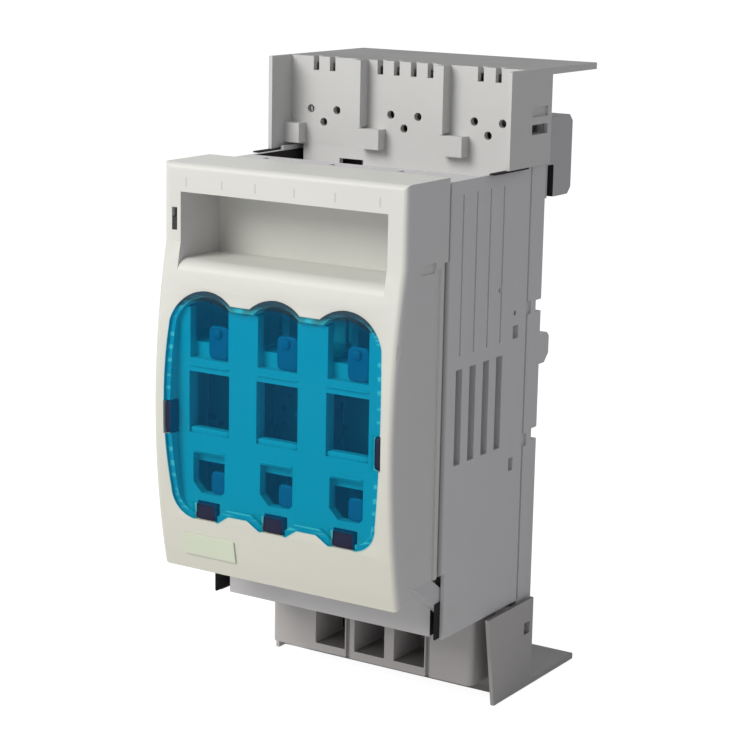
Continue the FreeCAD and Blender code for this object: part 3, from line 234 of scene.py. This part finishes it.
def softened(node, material, width, segments=2):
    """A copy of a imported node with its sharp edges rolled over, shown in its place."""
    weld, flat_angle = 0.002 * mm, math.radians(0.4)
    smooth_angle, edge_angle = math.radians(25), math.radians(28)
    source = frame["nodes"][node]
    mesh = source.data.copy()
    mesh.transform(source.matrix_world)
    form = bmesh.new()
    form.from_mesh(mesh)
    bmesh.ops.remove_doubles(form, verts=form.verts, dist=weld)
    bmesh.ops.dissolve_degenerate(form, edges=form.edges, dist=weld)
    bmesh.ops.dissolve_limit(form, angle_limit=flat_angle, verts=form.verts, edges=form.edges)
    form.to_mesh(mesh)
    form.free()
    mesh.materials.clear()
    mesh.materials.append(material)
    for polygon in mesh.polygons:
        polygon.use_smooth = True
    mesh.set_sharp_from_angle(angle=smooth_angle)
    piece = bpy.data.objects.new(node + "_skin", mesh)
    bpy.context.collection.objects.link(piece)
    bevel = piece.modifiers.new("rolled_edges", "BEVEL")
    bevel.width, bevel.segments = width, segments
    bevel.limit_method, bevel.angle_limit = "ANGLE", edge_angle
    bevel.harden_normals = True
    bevel.use_clamp_overlap = True
    body = next(name for name, nodes in frame["record"]["behaviour"]["bodies"].items() if node in nodes)
    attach(piece, body)
    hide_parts(node)


def shade(colour, factor):
    """The colour made darker or lighter."""
    return tuple(part * factor for part in colour)


def moulded(name, colour, grain=0.25, roughness=0.5, gloss=0.5, details=()):
    """Moulded plastic: faint cloudy tone, spark-eroded grain and uneven gloss. A detail is a function
    and its numbers: it is given the finish and its colour, and changes the tone or the relief."""
    f = Finish(name)
    cloud = f.noise(28, 4, 0.6)
    f.tone = f.tint(cloud, shade(colour, 0.955), shade(colour, 1.03))
    f.relief = f.noise(2600, 2)
    for change, *numbers in details:
        change(f, colour, *numbers)
    return f.close(f.surface(Base_Color=f.tone, Roughness=roughness + (cloud - 0.5) * 0.16,
                             Specular_IOR_Level=gloss, Normal=f.bump(f.relief, grain, 0.08 * mm)))


def warm_foot(f, colour, strength):
    """Slightly warmer tone from the handle down to the foot."""
    low = f.rise(f.axis(2), 60 * mm, -110 * mm)
    f.tone = f.blend(low * strength, f.tone, (colour[0] * 0.97, colour[1] * 0.95, colour[2] * 0.86))


def strokes(f, colour, strength):
    """Short upright strokes, sunk into the face over the handle recess."""
    places, half_width = (-50, -31, -13.6, 6.4, 27, 49), 0.4
    foot, top, face = 59.5 * mm, 63.5 * mm, -120 * mm
    along, depth, height = (f.axis(number) for number in range(3))
    stroke = sum((along > (x - half_width) * mm) * (along < (x + half_width) * mm) for x in places)
    stroke = stroke * (height > foot) * (height < top) * (depth < face)
    f.tone = f.blend(stroke * strength, f.tone, shade(colour, 0.45))
    f.relief = f.relief - stroke * 2


def arm_painted_shade(f, colour):
    """Painted shade: the hinge arms below the cover, behind its face and near its sides, are greyer."""
    top, front, inner = -104.6 * mm, -117.5 * mm, 54.5 * mm
    along, depth, height = (f.axis(number) for number in range(3))
    arm = (height < top) * (depth > front) * (along * along > inner ** 2)
    f.tone = f.blend(arm, f.tone, (0.43, 0.43, 0.435))


def flank_painted_shade(f, colour, strength):
    """Painted shade: faces that look to the left or right more than ahead are greyer."""
    flank = f.facing(0)
    f.tone = f.blend((flank * flank > 0.5) * strength, f.tone, (0.575, 0.565, 0.585))


# The greyer hinge arms and flanks of this finish are painted shade.
cover_plastic = moulded("pale_grey_plastic", (0.63, 0.63, 0.60), details=(
    (warm_foot, 0.8), (strokes, 0.35), (arm_painted_shade,), (flank_painted_shade, 0.8)))
softened("front_cover", cover_plastic, 0.5 * mm, 3)


# Window: one clear blue moulding, bowed like the cover and snapped into its front. The colour is in
# the plastic, so what lies close behind looks bright blue and the openings look navy. A painted
# shadow darkens the plastic along the rim of its three upper bulges.
def dress(node, material):
    """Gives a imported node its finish."""
    slots = frame["nodes"][node].data.materials
    slots.clear()
    slots.append(material)


def rim_painted_shadow(f, centre):
    """Mask of the painted shadow along one bulge's rim: a ring round its middle, which ends at the valleys
    beside it.
    """
    middle, inner, outer = -14 * mm, 24.5 * mm, 28 * mm
    valley, valley_end, foot = 12.5 * mm, 17.2 * mm, 2 * mm
    aside, height = f.axis(0) - centre, f.axis(2)
    reach = aside * aside + (height - middle) * (height - middle)
    ring = f.rise(reach, inner ** 2, outer ** 2)
    return ring * f.rise(aside * aside, valley_end ** 2, valley ** 2) * (height > foot)


pole_pitch = 36
f = Finish("clear_blue")
# The rim mask is painted shadow: it darkens the blue and raises the share of the surface shader.
rim = sum(rim_painted_shadow(f, pole_pitch * k * mm) for k in (-1, 0, 1))
ripple = f.noise(45, 2)
blue = f.tint(ripple, (0.01, 0.36, 0.85), (0.02, 0.42, 0.95))
tone = f.blend(f.rise(rim, 0, 0.3), blue, (0.001, 0.035, 0.065))
sheen = f.surface(Base_Color=tone, Roughness=0.1 + ripple * 0.06, Normal=f.bump(ripple, 0.12, 0.6 * mm))
tinted = f.node("ShaderNodeBsdfTransparent", {}, Color=(0.06, 0.65, 0.82, 1))
outer = f.node("ShaderNodeMixShader", {}, 0.09 + rim * 0.8, tinted, sheen)
clear = f.node("ShaderNodeBsdfTransparent", {}, Color=(1, 1, 1, 1))
inside = f.node("ShaderNodeNewGeometry", {}, out="Backfacing")
dress("inspection_window", f.close(f.node("ShaderNodeMixShader", {}, inside, outer, clear)))


# Window catches: navy snap hooks, three in the notches at the window's foot and one on each side.
# Behind each opening a sprung tongue closes the way for a probe, and the bars between the openings
# are ribbed. All of them sit on the cover.
def signed_power(value, exponent):
    """The power of the value's size, with the value's sign."""
    return np.sign(value) * np.abs(value) ** exponent


def rounded_block(name, centre, half, squareness, material):
    """Closed block with rolled edges, a superellipsoid in millimetres: along each axis a point is
    the centre plus the half size times the signed powers of the cosine or sine of its two angles."""
    rings, steps = 12, 24
    about, level = np.meshgrid(np.linspace(-np.pi, np.pi, steps, endpoint=False),
                               np.linspace(-np.pi / 2, np.pi / 2, rings + 1)[1:-1])
    flat = signed_power(np.cos(level), squareness)
    ring = np.stack([flat * signed_power(np.cos(about), squareness),
                     flat * signed_power(np.sin(about), squareness),
                     signed_power(np.sin(level), squareness)], -1).reshape(-1, 3)
    points = (np.concatenate([ring, [[0, 0, -1], [0, 0, 1]]]) * half + np.array(centre)) * mm
    index = np.arange(len(ring)).reshape(rings - 1, steps)
    beside = np.roll(index, -1, axis=1)
    quads = np.stack([index[:-1], beside[:-1], beside[1:], index[1:]], -1).reshape(-1, 4)
    low = np.stack([np.full(steps, len(ring)), beside[0], index[0]], -1)
    high = np.stack([index[-1], beside[-1], np.full(steps, len(ring) + 1)], -1)
    mesh = bpy.data.meshes.new(name)
    mesh.from_pydata(points.tolist(), [], quads.tolist() + low.tolist() + high.tolist())
    mesh.polygons.foreach_set("use_smooth", np.ones(len(mesh.polygons), dtype=bool))
    mesh.materials.append(material)
    piece = bpy.data.objects.new(name, mesh)
    bpy.context.collection.objects.link(piece)
    return piece


catch_plastic = moulded("navy_plastic", (0.012, 0.013, 0.04), roughness=0.45, gloss=0.2)
tongue_plastic = moulded("slate_plastic", (0.12, 0.16, 0.24))
catches = [(side, (x, -126.6, -42), (1.7, 3, 7.2)) for side, x in (("left", -54.4), ("right", 54.4))]
catches += [(f"foot_{k + 2}", (pole_pitch * k, -123.9, -83), (5.6, 2.6, 3.8)) for k in (-1, 0, 1)]
for name, centre, half in catches:
    piece = rounded_block("window_catch_" + name, centre, half, 0.3, catch_plastic)
    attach(piece, "cover")
for k in (-1, 0, 1):
    x, n = pole_pitch * k, k + 2
    ribs = [(f"upper_rib_{n}", (x, -124.5, -18), (11, 0.8, 0.5), 0.5),
            (f"lower_rib_{n}", (x, -124.5, -56.2), (8.6, 0.8, 0.5), 0.5),
            (f"sill_{n}", (x, -122, -47.4), (10.6, 2.2, 1.5), 0.4)]
    tongues = [(f"upper_tongue_{n}", (x + 3.6, -121.4, -7.5), (5.4, 1.1, 7.5), 0.4),
               (f"tongue_boss_{n}", (x + 3.2, -122.6, -3.5), (2.2, 1.1, 2.2), 0.8),
               (f"lower_tongue_{n}", (x + 3.8, -121.6, -70.4), (3.9, 1.1, 5.2), 0.5)]
    for blocks, material, slot in ((ribs, cover_plastic, "cover_plastic"),
                                   (tongues, tongue_plastic, "housing_plastic")):
        for block in blocks:
            piece = rounded_block(*block, material)
            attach(piece, "cover")


# Blank plate: a pale, slightly green plastic plate, pressed into the lower left of the cover. The
# lock slide beside the handle recess is black, and slides up by 4 mm.
softened("blank_plate", moulded("pale_plate", (0.60, 0.65, 0.52), grain=0.1, roughness=0.4), 0.15 * mm)
dress("lock_slide", moulded("black_plastic", (0.015, 0.015, 0.016)))


# Base, back plate and hooks: glass-filled grey plastic, drier and coarser than the cover, with faint
# upright flow marks on the tall sides. The rim of the base lies in the shade of the seam, and the
# hooks are painted a darker grey, as shade.
def flow_marks(f, colour, strength):
    """Faint upright streaks, where the plastic ran along the mould."""
    streak = f.streaks((90, 90, 5))
    f.tone = f.blend(streak * (strength * 0.35), f.tone, shade(colour, 0.8))


def seam_shade(f, colour, strength):
    """Darker rim, on the outside of the walls, from just behind the seam to the seam."""
    start, end, rim_front = -84.6 * mm, -88.8 * mm, -95 * mm
    foot, wall = -105 * mm, 60.7 * mm
    along, depth, height = (f.axis(number) for number in range(3))
    near = f.rise(depth, start, end) * (height > foot) * (along * along > wall ** 2) * (depth > rim_front)
    f.tone = f.blend(near * strength, f.tone, (0.10, 0.085, 0.085))


housing = moulded("housing_grey", (0.60, 0.59, 0.605), grain=0.4, roughness=0.58,
                  details=((flow_marks, 0.5), (seam_shade, 0.75)))
for node in ("base_housing", "rear_adapter"):
    softened(node, housing, 0.4 * mm)
# The darker grey of the hooks is painted shade.
shaded_hook_plastic = moulded("hook_grey_painted_shade", (0.45, 0.445, 0.46), grain=0.4, roughness=0.58)
for node in ("bar_hook_left", "bar_hook_right"):
    softened(node, shaded_hook_plastic, 0.4 * mm)


# Small parts of the base: a lip on each side of its rim, which closes the seam to the cover, and
# thin near-black sheets of painted shade in the hinge pockets, the terminal pit, the hooks' mouths
# and the joint between the base and the upper shroud.
# Near-black sheets that stand for shade in hollows and gaps: painted shade.
painted_shade_black = moulded("black_painted_shade", (0.026, 0.024, 0.025), grain=0.6, roughness=0.8, gloss=0.1)
lips_and_shade_sheets = [("pit_lining_side", painted_shade_black, (-58.85, -39, 62.5), (0.1, 20.8, 4.3)),
           ("pit_lining_back", painted_shade_black, (-34.5, -18.2, 62.4), (7.5, 0.1, 4.2))]
for side, sign in (("left", -1), ("right", 1)):
    lips_and_shade_sheets += [(f"rim_lip_{side}", housing, (sign * 58.9, -93.2, -33), (0.2, 1.4, 64)),
                (f"pocket_lining_{side}", painted_shade_black, (sign * 54.4, -74.5, -126.2), (0.06, 8.4, 8.4)),
                (f"pocket_skin_{side}", painted_shade_black, (sign * 59.2, -77, -126.2), (0.05, 11, 8.4)),
                (f"pocket_back_{side}", painted_shade_black, (sign * 56.9, -65.6, -126.2), (2.3, 0.06, 8.4)),
                (f"hook_pad_{side}", painted_shade_black, (sign * 57.3, 5.14, 59), (3.85, 0.05, 7.4)),
                (f"joint_foam_{side}", painted_shade_black, (sign * 62.4, -38.5, 67.4), (1.55, 15.5, 0.36))]
for name, material, centre, half in lips_and_shade_sheets:
    piece = rounded_block(name, centre, half, 0.12, material)
    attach(piece, "base")


# Shrouds: thin grey covers that clip over the cable terminals. The shelf's upper face is painted a
# darker tone, as in the photograph, and the lower shroud is a shade darker and warmer, with painted
# shadow on its faces that look up.
def darker_tops(f, colour, lowest, factor):
    """Darker tone on faces that look up and lie above a height."""
    face = (f.facing(2) > 0.9) * (f.axis(2) > lowest)
    f.tone = f.blend(face, f.tone, shade(colour, factor))


upper_plastic = moulded("shroud_grey", (0.57, 0.57, 0.565), grain=0.35,
                        details=((flow_marks, 0.3), (darker_tops, 108.5 * mm, 0.24)))
# On the lower shroud, the darker faces that look up are painted shadow.
lower_plastic = moulded("shroud_warm_grey", (0.45, 0.435, 0.43), grain=0.35,
                        details=((darker_tops, -178.5 * mm, 0.4),))
softened("upper_shroud", upper_plastic, 0.4 * mm)
softened("lower_shroud", lower_plastic, 0.4 * mm)


# Fuse links: a body of dark brown glazed porcelain. Its ends, blades and gripping lugs are silvered
# copper, and so are the jaws that hold them: soft grey, a little tarnished, drawn along their length.
# Each link hangs by its lugs in a plastic holder on the inside of the cover.
def glazed(name, colour):
    """Dark glaze: slow colour drift, pinholes and a clear top coat."""
    f = Finish(name)
    drift, pinholes = f.noise(60, 3), f.noise(900, 1)
    tone = f.tint(drift, shade(colour, 0.75), shade(colour, 1.35))
    dip = f.tint(pinholes < 0.3, (1, 1, 1), (0.2, 0.2, 0.2))
    return f.close(f.surface(Base_Color=tone, Roughness=0.22 + drift * 0.12, Coat_Weight=0.5,
                             Coat_Roughness=0.08, Normal=f.bump(dip, 0.25, 0.1 * mm)))


def metal(name, colour, stained, roughness, grain=(900, 900, 60), scale=34):
    """Metal sheet or bar: fine drawn lines along one axis, and clouds of a second, stained colour."""
    f = Finish(name)
    lines, cloud = f.streaks(grain, 3, 0.6), f.noise(scale, 4, 0.62)
    wear = roughness + (lines - 0.5) * 0.18 + (cloud - 0.5) * 0.15
    return f.close(f.surface(Base_Color=f.blend(cloud, colour, stained), Metallic=1.0, Roughness=wear,
                             Normal=f.bump(lines, 0.2, 0.05 * mm)))


silvered = metal("silvered_copper", (0.80, 0.79, 0.76), (0.62, 0.58, 0.52), 0.32)
glaze = glazed("brown_glaze", (0.07, 0.045, 0.035))
for k in (1, 2, 3):
    dress(f"fuse_body_{k}", glaze)
    dress(f"fuse_holder_{k}", cover_plastic)
    for end in ("upper", "lower"):
        dress(f"fuse_end_{end}_{k}", silvered)
        dress(f"jaw_{end}_{k}", silvered)


# Springs and locking slide: strips of blued spring steel, with straw and blue tints that drift over
# them. Each spring is a band round the two leaves of a jaw, and the slide runs on two rivets.
blued = metal("blued_steel", (0.30, 0.31, 0.34), (0.17, 0.18, 0.26), 0.3, grain=(60, 900, 900))
for k in (1, 2, 3):
    dress(f"jaw_spring_upper_{k}", blued)
    dress(f"jaw_spring_lower_{k}", blued)
dress("locking_slide", blued)


# Conductors: bare copper strips, bent and punched, with brown finger-tarnish in clouds. Three lead
# from the lower jaws to the busbars, and three from the upper jaws to the cable terminals.
copper = metal("bare_copper", (0.86, 0.46, 0.30), (0.45, 0.22, 0.14), 0.34)
for k in (1, 2, 3):
    dress(f"bus_contact_{k}", copper)
    dress(f"terminal_bar_{k}", copper)


# Screws, rivets, pins, clamps and arc plates: small steel parts, zinc-plated, with a faint yellow
# passivation. The screws hold jaws, cables and back plate, and the cover turns on the pins.
zinc = metal("zinc_plated_steel", (0.66, 0.67, 0.70), (0.60, 0.56, 0.44), 0.36, scale=55)
for node in ("jaw_screws", "terminal_screws", "terminal_clamps", "housing_screws", "slide_rivets",
             "hinge_pins", "arc_plates_1", "arc_plates_2", "arc_plates_3"):
    dress(node, zinc)


# Arc chute cheeks: brown pressed fibre, cut from sheet, with short dark fibres lying upright. In
# each pole two cheeks hold the stack of steel arc plates over the upper jaw.
f = Finish("pressed_fibre")
strands = f.streaks((500, 500, 90), 4, 0.7)
fibre = f.close(f.surface(Base_Color=f.tint(strands, (0.18, 0.08, 0.04), (0.42, 0.22, 0.12)),
                          Roughness=0.7 + strands * 0.15, Normal=f.bump(strands, 0.35, 0.1 * mm)))
for k in (1, 2, 3):
    dress(f"chute_cheeks_{k}", fibre)
